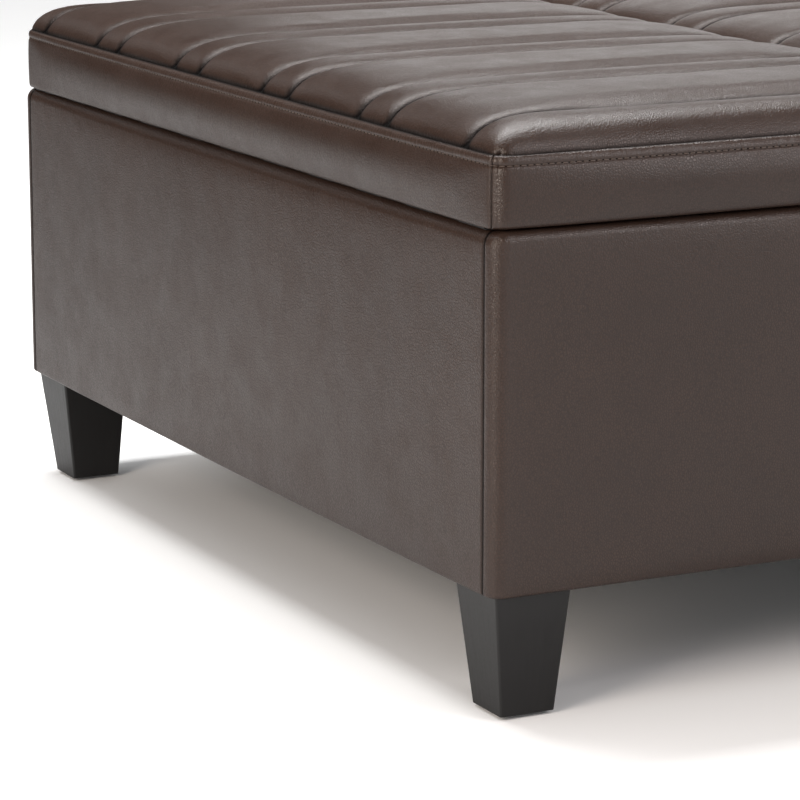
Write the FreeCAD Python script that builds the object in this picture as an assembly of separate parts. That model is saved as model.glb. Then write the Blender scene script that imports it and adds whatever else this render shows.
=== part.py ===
import FreeCAD, Part
import math
import os

# A square upholstered storage ottoman: four legs, a padded box, and two padded
# lids side by side. Each lid turns on a piano hinge along its outer long edge
# and is steadied at both ends by a parallel-arm stay.
#
# Frame, in millimetres: the origin is on the floor under the middle, +Z is up,
# X runs across the two lids and Y along them. Front is -Y and left is -X.

V = FreeCAD.Vector

# Overall sizes
WIDTH = 950.0
DEPTH = 914.0
GLIDE_HEIGHT = 3.0
LEG_HEIGHT = 95.0
BODY_HEIGHT = 268.3
LID_GAP = 5.4
BOXING_HEIGHT = 49.3
CROWN = 29.0
CENTRE_GAP = 6.0

# Rounding of the upholstery
CORNER_RADIUS = 12.0
EDGE_ROLL = 8.0
HEM_RADIUS = 3.0
CROWN_ROLL = 21.0
CROWN_FLAT_INSET = 70.0
CROWN_STEPS = 7
CROWN_CORNER_GROWTH = 0.5

# Box
COVER_PAD = 10.0
PANEL = 15.0
LINING = 1.5
LINING_TOP_INSET = 2.0
FLOOR_BOARD = 9.0
BLOCK_SIZE = 90.0
BLOCK_HEIGHT = 30.0
CLEAT_WIDTH = 20.0
DUST_COVER = 1.0
DUST_COVER_INSET = 12.0
RAIL_WIDTH = 50.0
RAIL_HEIGHT = 50.0
RAIL_BRACKET = 2.0
RAIL_BRACKET_LEG = 34.0
RAIL_BRACKET_WIDTH = 40.0

# Legs
LEG_TOP = 63.0
LEG_INSET = 7.0
LEG_OUTER_TAPER = 11.0
LEG_INNER_TAPER = 7.0
LEG_EDGE_RADIUS = 2.0
GLIDE_RADIUS = 11.0
BOLT_RADIUS = 4.0
BOLT_IN_LEG = 40.0
BOLT_TIP_GAP = 2.0
TNUT_WALL = 1.5
TNUT_LENGTH = 20.0
TNUT_FLANGE = 1.5
TNUT_FLANGE_RADIUS = 11.0
TNUT_WALL_GAP = 2.5

# Lids
BOARD = 15.0
TOP_COVER = 3.0
UNDER_LINER = 1.0
UNDER_LINER_INSET = 35.0
BUMPER_RADIUS = 5.0
BUMPER_GAP = 0.3
BUMPER_FROM_CENTRE = 43.0
BUMPER_FROM_SIDE = 60.0
RAIL_BUMPER_X = 15.0
RAIL_BUMPER_Y = 220.0

# Piano hinges
HINGE_INSET = 4.5
HINGE_END_INSET = 20.0
BARREL_RADIUS = 2.2
PIN_RADIUS = 1.2
LEAF = 1.2
LEAF_WIDTH = 20.0
KNUCKLE_LENGTH = 40.0
KNUCKLE_GAP = 0.4
HINGE_SCREWS = 7

# Screws
SCREW_RADIUS = 1.75
SCREW_LENGTH = 12.0
SCREW_HEAD_RADIUS = 3.0
SCREW_HEAD = 1.0

# Lid stays
STAY_METAL = 2.5
STAY_BAR_WIDTH = 14.0
STAY_SIDE_GAP = 1.0
STAY_PIVOT_DOWN = 45.0
STAY_CRANK_IN = 150.0
STAY_CRANK_DOWN = 20.0
STUD_RADIUS = 3.0
STUD_HEAD_RADIUS = 5.0
STUD_HEAD = 1.5
PLATE_WIDTH = 24.0
PLATE_TOP = 12.0
PLATE_BOTTOM = 40.0
PLATE_SCREW_DROPS = (20.0, 33.0)
BRACKET_FLANGE = 2.0
BRACKET_LENGTH = 44.0
BRACKET_SCREW_SPACING = 28.0

# Clearances
RUNNING_FIT = 0.05
OPEN_PIVOT_FIT = 0.3
LAYER_GAP = 0.3
SCREW_FIT = 0.1

# Levels worked out from the sizes above
BODY_BOTTOM = GLIDE_HEIGHT + LEG_HEIGHT
BODY_TOP = BODY_BOTTOM + BODY_HEIGHT
HINGE_Z = BODY_TOP + LID_GAP / 2
LID_BOTTOM = BODY_TOP + LID_GAP
LID_SEAM = LID_BOTTOM + BOXING_HEIGHT
BOARD_TOP = LID_BOTTOM + BOARD
FLOOR_BOTTOM = BODY_BOTTOM + BLOCK_HEIGHT
FLOOR_TOP = FLOOR_BOTTOM + FLOOR_BOARD
RAIL_BOTTOM = BODY_TOP - RAIL_HEIGHT

# Half sizes of the box's layers, from the outside in
HALF_X = WIDTH / 2
HALF_Y = DEPTH / 2
FRAME_X = HALF_X - COVER_PAD
FRAME_Y = HALF_Y - COVER_PAD
WALL_X = FRAME_X - PANEL
WALL_Y = FRAME_Y - PANEL
CAVITY_X = WALL_X - LINING
CAVITY_Y = WALL_Y - LINING

# Hinge line of the right-hand lid, and the stay's pivots beside it
HINGE_X = HALF_X - HINGE_INSET
SCREW_LINE_X = FRAME_X - PANEL / 2
WALL_PIVOT = V(CAVITY_X - STAY_SIDE_GAP - PLATE_WIDTH / 2, 0, HINGE_Z - STAY_PIVOT_DOWN)
LID_PIVOT = V(HINGE_X - STAY_CRANK_IN, 0, HINGE_Z - STAY_CRANK_DOWN)
ELBOW = WALL_PIVOT + LID_PIVOT - V(HINGE_X, 0, HINGE_Z)

# Layers of a stay at the back end, from the lining towards the middle
PLATE_Y = CAVITY_Y - STAY_METAL
ARM_Y = PLATE_Y - LAYER_GAP - STAY_METAL
LINK_Y = ARM_Y - LAYER_GAP - STAY_METAL
STUD_HEAD_Y = LINK_Y - LAYER_GAP - STUD_HEAD

SIDES = {"left": -1, "right": 1}
ENDS = {"front": -1, "back": 1}
X_AXIS = V(1, 0, 0)
Y_AXIS = V(0, 1, 0)
Z_AXIS = V(0, 0, 1)


def box(x0, x1, y0, y1, z0, z1):
    return Part.makeBox(x1 - x0, y1 - y0, z1 - z0, V(x0, y0, z0))


def centred_box(half_x, half_y, z0, z1):
    return box(-half_x, half_x, -half_y, half_y, z0, z1)


def rod(x, y, z, radius, length, direction):
    return Part.makeCylinder(radius, length, V(x, y, z), direction)


def fuse(shapes):
    """One solid from pieces that touch or cross."""
    return shapes[0].multiFuse(shapes[1:]).removeSplitter()


def cut(shape, tools):
    return shape.cut(Part.makeCompound(tools)) if tools else shape


def placed(shape, side, end=1):
    """A shape modelled at the right and back, mirrored to another side or end."""
    if side < 0:
        shape = shape.mirror(V(0, 0, 0), X_AXIS)
    if end < 0:
        shape = shape.mirror(V(0, 0, 0), Y_AXIS)
    return shape


def on_all_corners(shape):
    return [placed(shape, side, end) for side in SIDES.values() for end in ENDS.values()]


def rounded_outline(x0, x1, y0, y1, radius, z):
    """A closed rectangle with quarter-circle corners, lying at height z."""
    diagonal = radius * (1 - math.sqrt(0.5))
    corners = ((x1, y0, -1, 1), (x1, y1, -1, -1), (x0, y1, 1, -1), (x0, y0, 1, 1))
    ends = []
    for index, (x, y, in_x, in_y) in enumerate(corners):
        along_y = V(x, y + in_y * radius, z)
        along_x = V(x + in_x * radius, y, z)
        middle = V(x + in_x * diagonal, y + in_y * diagonal, z)
        first, last = (along_x, along_y) if index % 2 == 0 else (along_y, along_x)
        ends.append((first, middle, last))
    edges = []
    for index, (first, middle, last) in enumerate(ends):
        edges.append(Part.Arc(first, middle, last).toShape())
        edges.append(Part.LineSegment(last, ends[(index + 1) % 4][0]).toShape())
    return Part.Wire(edges)


def rounded_block(x0, x1, y0, y1, z0, z1, radius):
    face = Part.Face(rounded_outline(x0, x1, y0, y1, radius, z0))
    return face.extrude(V(0, 0, z1 - z0))


def edges_at(shape, z):
    """The edges of a shape that lie wholly at one height."""
    level = []
    for edge in shape.Edges:
        bounds = edge.BoundBox
        if abs(bounds.ZMin - z) < 0.001 and abs(bounds.ZMax - z) < 0.001:
            level.append(edge)
    return level


def screw(x, y, z, direction):
    """A round-headed screw whose head seats at the given point."""
    shank = rod(x, y, z, SCREW_RADIUS, SCREW_LENGTH, direction)
    head = Part.makeCylinder(SCREW_HEAD_RADIUS, SCREW_HEAD, V(x, y, z), -direction)
    return shank.fuse(head).removeSplitter()


def screw_hole(x, y, z, direction):
    """The tool that cuts a screw's hole through every layer it crosses."""
    return rod(x, y, z, SCREW_RADIUS + SCREW_FIT, SCREW_LENGTH + SCREW_FIT, direction)


def bar(start, finish, y):
    """A flat bar with round ends between two points of the X-Z plane."""
    along = (finish - start).normalize()
    across = along.cross(Y_AXIS)
    radius = STAY_BAR_WIDTH / 2
    lift = V(0, y, 0)
    a = start + across * radius + lift
    b = finish + across * radius + lift
    c = finish - across * radius + lift
    d = start - across * radius + lift
    edges = [
        Part.LineSegment(a, b).toShape(),
        Part.Arc(b, finish + along * radius + lift, c).toShape(),
        Part.LineSegment(c, d).toShape(),
        Part.Arc(d, start - along * radius + lift, a).toShape(),
    ]
    return Part.Face(Part.Wire(edges)).extrude(V(0, STAY_METAL, 0))


def pivot_hole(point, fit):
    return rod(point.x, 0, point.z, STUD_RADIUS + fit, HALF_Y, Y_AXIS)


def stud(point, root_y, head_y):
    """A pivot stud with a round head, standing from root_y towards the middle."""
    shank = rod(point.x, head_y, point.z, STUD_RADIUS, root_y - head_y, Y_AXIS)
    head = rod(point.x, head_y, point.z, STUD_HEAD_RADIUS, STUD_HEAD, Y_AXIS)
    return shank.fuse(head)


def body_hinge_screws():
    """Seats of the screws that hold the right-hand hinge to its panel."""
    return [(SCREW_LINE_X, y, BODY_TOP + LEAF, -Z_AXIS) for y in hinge_screw_places()]


def lid_hinge_screws():
    return [(SCREW_LINE_X, y, LID_BOTTOM - LEAF, Z_AXIS) for y in hinge_screw_places()]


def hinge_screw_places():
    span = DEPTH - 2 * HINGE_END_INSET
    pitch = span / HINGE_SCREWS
    return [-span / 2 + pitch * (index + 0.5) for index in range(HINGE_SCREWS)]


def plate_screws():
    return [(WALL_PIVOT.x, PLATE_Y, WALL_PIVOT.z - drop, Y_AXIS) for drop in PLATE_SCREW_DROPS]


def bracket_screws():
    half = BRACKET_SCREW_SPACING / 2
    y = FRAME_Y - PANEL / 2
    z = LID_BOTTOM - BRACKET_FLANGE
    return [(LID_PIVOT.x + step, y, z, Z_AXIS) for step in (-half, half)]


def leg_axis():
    """Plan position of the bolt in the back right leg, clear of both boards."""
    inset = TNUT_WALL_GAP + TNUT_FLANGE_RADIUS
    return WALL_X - inset, WALL_Y - inset


def make_covers():
    """The padded leather sides, mitred into four at the corners."""
    outer = rounded_block(-HALF_X, HALF_X, -HALF_Y, HALF_Y, BODY_BOTTOM, BODY_TOP, CORNER_RADIUS)
    outer = outer.makeFillet(min(EDGE_ROLL, COVER_PAD * 0.95), edges_at(outer, BODY_TOP))
    outer = outer.makeFillet(HEM_RADIUS, edges_at(outer, BODY_BOTTOM))
    ring = outer.cut(centred_box(FRAME_X, FRAME_Y, BODY_BOTTOM - 1, BODY_TOP + 1))
    reach_x = HALF_X + COVER_PAD
    reach_y = HALF_Y + COVER_PAD
    deep_x = FRAME_X - COVER_PAD
    deep_y = FRAME_Y - COVER_PAD
    end_wedge = [(-reach_x, reach_y), (reach_x, reach_y), (deep_x, deep_y), (-deep_x, deep_y)]
    side_wedge = [(reach_x, reach_y), (reach_x, -reach_y), (deep_x, -deep_y), (deep_x, deep_y)]
    end_cover = ring.common(prism(end_wedge))
    side_cover = ring.common(prism(side_wedge))
    covers = {"cover_" + name: placed(end_cover, 1, sign) for name, sign in ENDS.items()}
    covers.update({"cover_" + name: placed(side_cover, sign) for name, sign in SIDES.items()})
    return covers


def prism(corners):
    """An upright prism over plan corners, taller than the box at both ends."""
    points = [V(x, y, BODY_BOTTOM - 1) for x, y in corners]
    face = Part.Face(Part.makePolygon(points + points[:1]))
    return face.extrude(V(0, 0, BODY_HEIGHT + 2))


def make_panels():
    """The four boards of the box; the end boards cap the side boards."""
    end = box(-FRAME_X, FRAME_X, WALL_Y, FRAME_Y, BODY_BOTTOM, BODY_TOP)
    plate_holes = [screw_hole(*seat) for seat in plate_screws()]
    end = cut(end, plate_holes + [placed(hole, -1) for hole in plate_holes])
    side = box(WALL_X, FRAME_X, -WALL_Y, WALL_Y, BODY_BOTTOM, BODY_TOP)
    hinge_holes = [screw_hole(*seat) for seat in body_hinge_screws()]
    side = cut(side, hinge_holes)
    panels = {"panel_" + name: placed(end, 1, sign) for name, sign in ENDS.items()}
    panels.update({"panel_" + name: placed(side, sign) for name, sign in SIDES.items()})
    return panels


def make_linings():
    """Fabric on the walls and floor of the storage space."""
    top = BODY_TOP - LINING_TOP_INSET
    end = box(-WALL_X, WALL_X, CAVITY_Y, WALL_Y, FLOOR_TOP, top)
    holes = [screw_hole(*seat) for seat in plate_screws()]
    end = cut(end, holes + [placed(hole, -1) for hole in holes])
    side = box(CAVITY_X, WALL_X, -CAVITY_Y, CAVITY_Y, FLOOR_TOP, top)
    walls = [placed(end, 1, sign) for sign in ENDS.values()]
    walls += [placed(side, sign) for sign in SIDES.values()]
    floor = centred_box(CAVITY_X, CAVITY_Y, FLOOR_TOP, FLOOR_TOP + LINING)
    return {"lining_walls": Part.makeCompound(walls), "lining_floor": floor}


def make_base():
    """Corner blocks, cleats, floor board and dust cover at the bottom of the box."""
    bolt_x, bolt_y = leg_axis()
    tnut_radius = BOLT_RADIUS + SCREW_FIT + TNUT_WALL
    block = box(WALL_X - BLOCK_SIZE, WALL_X, WALL_Y - BLOCK_SIZE, WALL_Y, BODY_BOTTOM, FLOOR_BOTTOM)
    block = cut(block, [
        rod(bolt_x, bolt_y, BODY_BOTTOM, tnut_radius, BLOCK_HEIGHT, Z_AXIS),
        rod(bolt_x, bolt_y, FLOOR_BOTTOM - TNUT_FLANGE, TNUT_FLANGE_RADIUS, TNUT_FLANGE, Z_AXIS),
    ])
    run_x = WALL_X - BLOCK_SIZE
    run_y = WALL_Y - BLOCK_SIZE
    end_cleat = box(-run_x, run_x, WALL_Y - CLEAT_WIDTH, WALL_Y, BODY_BOTTOM, FLOOR_BOTTOM)
    side_cleat = box(WALL_X - CLEAT_WIDTH, WALL_X, -run_y, run_y, BODY_BOTTOM, FLOOR_BOTTOM)
    cleats = [placed(end_cleat, 1, sign) for sign in ENDS.values()]
    cleats += [placed(side_cleat, sign) for sign in SIDES.values()]
    half_x = HALF_X - DUST_COVER_INSET
    half_y = HALF_Y - DUST_COVER_INSET
    notch = LEG_INSET + LEG_TOP + DUST_COVER
    corner = box(HALF_X - notch, HALF_X, HALF_Y - notch, HALF_Y, 0, BODY_BOTTOM)
    dust = centred_box(half_x, half_y, BODY_BOTTOM - DUST_COVER, BODY_BOTTOM)
    return {
        "corner_blocks": Part.makeCompound(on_all_corners(block)),
        "floor_cleats": Part.makeCompound(cleats),
        "floor_board": centred_box(WALL_X, WALL_Y, FLOOR_BOTTOM, FLOOR_TOP),
        "dust_cover": cut(dust, on_all_corners(corner)),
    }


def make_rail():
    """The rail under the meeting edges of the lids, on two angle brackets."""
    rail = centred_box(RAIL_WIDTH / 2, CAVITY_Y, RAIL_BOTTOM, BODY_TOP)
    half = RAIL_BRACKET_WIDTH / 2
    under = RAIL_BOTTOM - RAIL_BRACKET
    shelf = box(-half, half, CAVITY_Y - RAIL_BRACKET_LEG, CAVITY_Y, under, RAIL_BOTTOM)
    upright = box(-half, half, CAVITY_Y - RAIL_BRACKET, CAVITY_Y, under - RAIL_BRACKET_LEG, under)
    bracket = shelf.fuse(upright).removeSplitter()
    brackets = [placed(bracket, 1, sign) for sign in ENDS.values()]
    return {"centre_rail": rail, "rail_brackets": Part.makeCompound(brackets)}


def make_legs():
    """Tapered square legs with their bolts, tee nuts and glides."""
    bolt_x, bolt_y = leg_axis()
    outer_x = HALF_X - LEG_INSET
    outer_y = HALF_Y - LEG_INSET
    foot = LEG_TOP - LEG_OUTER_TAPER - LEG_INNER_TAPER
    foot_x = outer_x - LEG_OUTER_TAPER
    foot_y = outer_y - LEG_OUTER_TAPER
    top = rounded_outline(outer_x - LEG_TOP, outer_x, outer_y - LEG_TOP, outer_y,
                          LEG_EDGE_RADIUS, BODY_BOTTOM)
    bottom = rounded_outline(foot_x - foot, foot_x, foot_y - foot, foot_y,
                             LEG_EDGE_RADIUS, GLIDE_HEIGHT)
    bolt_bottom = BODY_BOTTOM - BOLT_IN_LEG
    bolt_length = BOLT_IN_LEG + BLOCK_HEIGHT - BOLT_TIP_GAP
    bolt_hole = BOLT_RADIUS + SCREW_FIT
    leg = Part.makeLoft([bottom, top], True, True)
    leg = leg.cut(rod(bolt_x, bolt_y, bolt_bottom, bolt_hole, BOLT_IN_LEG, Z_AXIS))
    bolt = rod(bolt_x, bolt_y, bolt_bottom, BOLT_RADIUS, bolt_length, Z_AXIS)
    barrel = rod(bolt_x, bolt_y, FLOOR_BOTTOM - TNUT_LENGTH, bolt_hole + TNUT_WALL, TNUT_LENGTH, Z_AXIS)
    flange = rod(bolt_x, bolt_y, FLOOR_BOTTOM - TNUT_FLANGE, TNUT_FLANGE_RADIUS, TNUT_FLANGE, Z_AXIS)
    bore = rod(bolt_x, bolt_y, BODY_BOTTOM, bolt_hole, BLOCK_HEIGHT, Z_AXIS)
    tnut = barrel.fuse(flange).removeSplitter().cut(bore)
    glide = rod(foot_x - foot / 2, foot_y - foot / 2, 0, GLIDE_RADIUS, GLIDE_HEIGHT, Z_AXIS)
    parts = {
        "leg_bolts": Part.makeCompound(on_all_corners(bolt)),
        "leg_tee_nuts": Part.makeCompound(on_all_corners(tnut)),
        "leg_glides": Part.makeCompound(on_all_corners(glide)),
    }
    for end_name, end in ENDS.items():
        for side_name, side in SIDES.items():
            parts["leg_" + end_name + "_" + side_name] = placed(leg, side, end)
    return parts


def make_bumpers():
    """Rubber buttons that the closed lids come down on."""
    height = LID_GAP - BUMPER_GAP
    end_y = FRAME_Y - PANEL / 2
    places = [
        (BUMPER_FROM_CENTRE, end_y),
        (HALF_X - BUMPER_FROM_SIDE, end_y),
        (RAIL_BUMPER_X, RAIL_BUMPER_Y),
    ]
    bumpers = []
    for x, y in places:
        bumpers += on_all_corners(rod(x, y, BODY_TOP, BUMPER_RADIUS, height, Z_AXIS))
    return {"lid_bumpers": Part.makeCompound(bumpers)}


def crown_block(x0, x1, y0, y1):
    """The filled shape of a lid's crowned top, standing on the seam line."""
    full = 1 - math.exp(-CROWN_FLAT_INSET / CROWN_ROLL)
    outlines = []
    for step in range(CROWN_STEPS + 1):
        inset = CROWN_FLAT_INSET * (step / CROWN_STEPS) ** 2
        rise = CROWN * (1 - math.exp(-inset / CROWN_ROLL)) / full
        radius = CORNER_RADIUS + CROWN_CORNER_GROWTH * inset
        outlines.append(rounded_outline(x0 + inset, x1 - inset, y0 + inset, y1 - inset,
                                        radius, LID_SEAM + rise))
    return Part.makeLoft(outlines, True, True)


def make_lid():
    """The right-hand lid: board, foam, padded side, top cover and under liner."""
    x0 = CENTRE_GAP / 2
    side = rounded_block(x0, HALF_X, -HALF_Y, HALF_Y, LID_BOTTOM, LID_SEAM, CORNER_RADIUS)
    side = side.makeFillet(min(EDGE_ROLL, COVER_PAD * 0.95), edges_at(side, LID_BOTTOM))
    board_x = x0 + COVER_PAD
    core = box(board_x, FRAME_X, -FRAME_Y, FRAME_Y, LID_BOTTOM, LID_SEAM)
    holes = [screw_hole(*seat) for seat in lid_hinge_screws()]
    for end in ENDS.values():
        holes += [placed(screw_hole(*seat), 1, end) for seat in bracket_screws()]
    crown = crown_block(x0, HALF_X, -HALF_Y, HALF_Y)
    inner = crown.translated(V(0, 0, -TOP_COVER))
    above_seam = box(x0, HALF_X, -HALF_Y, HALF_Y, LID_SEAM, LID_SEAM + CROWN)
    foam_low = box(board_x, FRAME_X, -FRAME_Y, FRAME_Y, BOARD_TOP, LID_SEAM)
    inset = UNDER_LINER_INSET
    return {
        "board": cut(box(board_x, FRAME_X, -FRAME_Y, FRAME_Y, LID_BOTTOM, BOARD_TOP), holes),
        "foam": foam_low.fuse(inner.common(above_seam)),
        "side_cover": side.cut(core),
        "top_cover": crown.cut(inner),
        "under_liner": box(x0 + inset, HALF_X - inset, -HALF_Y + inset, HALF_Y - inset,
                           LID_BOTTOM - UNDER_LINER, LID_BOTTOM),
    }


def knuckle_spans():
    """Start and end of each hinge knuckle, first and last ones on the box's leaf."""
    length = DEPTH - 2 * HINGE_END_INSET
    count = 2 * int(length / (2 * KNUCKLE_LENGTH)) + 1
    pitch = length / count
    spans = []
    for index in range(count):
        start = -length / 2 + index * pitch
        spans.append((start + KNUCKLE_GAP / 2, start + pitch - KNUCKLE_GAP / 2))
    return spans


def hinge_leaf(spans, z0, z1, seats):
    """A leaf of the right-hand hinge with the knuckles that belong to it."""
    half = DEPTH / 2 - HINGE_END_INSET
    clear = BARREL_RADIUS + KNUCKLE_GAP
    pieces = [box(HINGE_X - LEAF_WIDTH, HINGE_X - clear, -half, half, z0, z1)]
    for start, finish in spans:
        pieces.append(box(HINGE_X - clear, HINGE_X, start, finish, z0, z1))
        pieces.append(rod(HINGE_X, start, HINGE_Z, BARREL_RADIUS, finish - start, Y_AXIS))
    bore = rod(HINGE_X, -half, HINGE_Z, PIN_RADIUS + RUNNING_FIT, 2 * half, Y_AXIS)
    return cut(fuse(pieces), [bore] + [screw_hole(*seat) for seat in seats])


def make_hinge():
    spans = knuckle_spans()
    half = DEPTH / 2 - HINGE_END_INSET
    return {
        "box_leaf": hinge_leaf(spans[0::2], BODY_TOP, BODY_TOP + LEAF, body_hinge_screws()),
        "lid_leaf": hinge_leaf(spans[1::2], LID_BOTTOM - LEAF, LID_BOTTOM, lid_hinge_screws()),
        "pin": rod(HINGE_X, -half, HINGE_Z, PIN_RADIUS, 2 * half, Y_AXIS),
    }


def make_stay():
    """The stay at the back end of the right-hand lid."""
    plate = box(WALL_PIVOT.x - PLATE_WIDTH / 2, WALL_PIVOT.x + PLATE_WIDTH / 2, PLATE_Y, CAVITY_Y,
                WALL_PIVOT.z - PLATE_BOTTOM, WALL_PIVOT.z + PLATE_TOP)
    plate = cut(plate, [screw_hole(*seat) for seat in plate_screws()])
    arm_head_y = ARM_Y - LAYER_GAP - STUD_HEAD
    plate = fuse([plate, stud(WALL_PIVOT, CAVITY_Y, arm_head_y)])
    arm = cut(bar(WALL_PIVOT, ELBOW, ARM_Y), [pivot_hole(WALL_PIVOT, RUNNING_FIT)])
    arm = fuse([arm, stud(ELBOW, ARM_Y + STAY_METAL, STUD_HEAD_Y)])
    link = cut(bar(LID_PIVOT, ELBOW, LINK_Y),
               [pivot_hole(LID_PIVOT, RUNNING_FIT), pivot_hole(ELBOW, OPEN_PIVOT_FIT)])
    half = BRACKET_LENGTH / 2
    reach = FRAME_Y - SCREW_FIT
    flange = box(LID_PIVOT.x - half, LID_PIVOT.x + half, ARM_Y, reach,
                 LID_BOTTOM - BRACKET_FLANGE, LID_BOTTOM)
    flange = cut(flange, [screw_hole(*seat) for seat in bracket_screws()])
    web = bar(V(LID_PIVOT.x, 0, LID_BOTTOM - BRACKET_FLANGE), LID_PIVOT, ARM_Y)
    below_lid = centred_box(HALF_X, HALF_Y, BODY_BOTTOM, LID_BOTTOM)
    web = web.common(below_lid)
    bracket = fuse([flange, web, stud(LID_PIVOT, ARM_Y + STAY_METAL, STUD_HEAD_Y)])
    return {"plate": plate, "arm": arm, "link": link, "bracket": bracket}


def screws_at(seats, side, ends=(1,)):
    return [placed(screw(*seat), side, end) for seat in seats for end in ends]


def make_all():
    parts = {}
    for maker in (make_covers, make_panels, make_linings, make_base, make_rail, make_legs, make_bumpers):
        parts.update(maker())
    lid = make_lid()
    hinge = make_hinge()
    stay = make_stay()
    both_ends = tuple(ENDS.values())
    plates = []
    box_screws = []
    for name, side in SIDES.items():
        for piece, shape in lid.items():
            parts["lid_" + name + "_" + piece] = placed(shape, side)
        for piece, shape in hinge.items():
            parts["hinge_" + name + "_" + piece] = placed(shape, side)
        for end_name, end in ENDS.items():
            for piece in ("arm", "link"):
                parts["stay_" + piece + "_" + name + "_" + end_name] = placed(stay[piece], side, end)
            plates.append(placed(stay["plate"], side, end))
        brackets = [placed(stay["bracket"], side, end) for end in both_ends]
        parts["stay_brackets_" + name] = Part.makeCompound(brackets)
        box_screws += screws_at(body_hinge_screws(), side)
        box_screws += screws_at(plate_screws(), side, both_ends)
        lid_screws = screws_at(lid_hinge_screws(), side)
        lid_screws += screws_at(bracket_screws(), side, both_ends)
        parts["screws_lid_" + name] = Part.makeCompound(lid_screws)
    parts["stay_plates"] = Part.makeCompound(plates)
    parts["screws_box"] = Part.makeCompound(box_screws)
    return parts


os.makedirs("parts", exist_ok=True)
for node, shape in sorted(make_all().items()):
    shape.exportStep("parts/" + node + ".step")
    print(node, len(shape.Solids), "solid(s)", "valid" if shape.isValid() else "INVALID",
          round(shape.Volume / 1000, 2), "cm3")
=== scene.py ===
import math

import bpy
import numpy as np
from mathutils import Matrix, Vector, noise


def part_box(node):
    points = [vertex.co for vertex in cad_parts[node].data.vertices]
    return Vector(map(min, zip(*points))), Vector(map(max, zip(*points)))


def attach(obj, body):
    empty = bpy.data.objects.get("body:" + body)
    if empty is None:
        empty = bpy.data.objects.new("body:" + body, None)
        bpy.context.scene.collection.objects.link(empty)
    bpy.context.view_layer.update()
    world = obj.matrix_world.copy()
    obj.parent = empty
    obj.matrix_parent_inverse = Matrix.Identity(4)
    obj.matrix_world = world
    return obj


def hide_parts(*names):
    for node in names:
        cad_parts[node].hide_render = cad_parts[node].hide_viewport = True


# A storage ottoman in dark brown leather: two padded lids with channels sewn across
# them, over a padded box on tapered black legs. Metres; front is -Y, left is -X.
# Each lid is hinged along its outer long side.

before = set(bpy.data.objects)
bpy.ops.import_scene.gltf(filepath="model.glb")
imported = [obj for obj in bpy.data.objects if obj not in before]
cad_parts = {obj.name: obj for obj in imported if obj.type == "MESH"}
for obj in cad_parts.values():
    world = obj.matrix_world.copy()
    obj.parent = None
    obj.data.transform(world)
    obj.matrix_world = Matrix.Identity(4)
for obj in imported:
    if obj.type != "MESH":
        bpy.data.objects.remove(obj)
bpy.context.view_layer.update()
MM = 0.001
LID_NAMES = ("left", "right")
LEG_ROWS = ("front", "back")

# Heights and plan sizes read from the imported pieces
COVER_LOW, COVER_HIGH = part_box("cover_front")
SIDE_LOW, SIDE_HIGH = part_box("lid_right_side_cover")
TOP_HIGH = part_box("lid_right_top_cover")[1]
HALF_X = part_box("cover_right")[1].x
HALF_Y = -COVER_LOW.y
BODY_BOTTOM = COVER_LOW.z
BODY_TOP = COVER_HIGH.z
LID_BOTTOM = SIDE_LOW.z
LID_SEAM = SIDE_HIGH.z
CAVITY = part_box("lining_walls")[1]

# Upholstery
CORNER_RADIUS = 12 * MM
LID_ROLL = 3.5 * MM
LIP = 3.2 * MM
CROWN_ROLL = 21 * MM
PILLOW = 2.4 * MM
CREASE_DEPTH = 4.6 * MM
CREASE_WIDTH = 3.8 * MM
CORNER_PULL = 2.0 * MM
NARROW_BAND = 49 * MM
WIDE_BAND = (2 * HALF_Y - 6 * NARROW_BAND) / 5
STITCH_DROP = 7.3 * MM
STITCH_PITCH = 5.5 * MM
SIDE_BULGE = 7 * MM
BOW = 2.6
BULGE_REACH = 45 * MM
ROLL_REACH = 14 * MM
PULL_LENGTH = 28 * MM
PULL_REACH = 30 * MM
LID_CORNER_SEAM = 1.3 * MM
LID_CORNER_SEAM_INSET = 7 * MM
BOX_CORNER_SEAM = 1.1 * MM
BOX_CORNER_SEAM_INSET = 3.6 * MM
LEATHER = 1.0 * MM
WRAP = 0.2 * MM
BOX_ROLL = 8 * MM
HINGE_ROLL = 11 * MM
THREAD_RADIUS = 0.45 * MM
STITCH_LENGTH = 3.7 * MM
STITCH_LIFT = 0.15 * MM
HOLE_RADIUS = 1.0 * MM
HOLE_DEPTH = 1.9 * MM
HOLE_LIFT = -0.60 * MM
SHEET_THICKNESS = 0.5 * MM
SHEET_CELL = 14 * MM
LINING_THICKNESS = 1.5 * MM

# The cloth run that settles the lids' leather
SETTLING_FRAMES = 8
PRESSURE = 4.0
FURTHEST_MOVE = 1.6 * MM


# ---------------------------------------------------------------- materials

class Value:
    """A number or colour output of a material's node, for use in arithmetic."""

    def __init__(self, shader, socket):
        self.shader = shader
        self.socket = socket

    def __add__(self, other):
        return self.shader.math("ADD", self, other)

    def __radd__(self, other):
        return self.shader.math("ADD", other, self)

    def __sub__(self, other):
        return self.shader.math("SUBTRACT", self, other)

    def __rsub__(self, other):
        return self.shader.math("SUBTRACT", other, self)

    def __mul__(self, other):
        return self.shader.math("MULTIPLY", self, other)

    def __rmul__(self, other):
        return self.shader.math("MULTIPLY", other, self)

    def __truediv__(self, other):
        return self.shader.math("DIVIDE", self, other)


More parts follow.
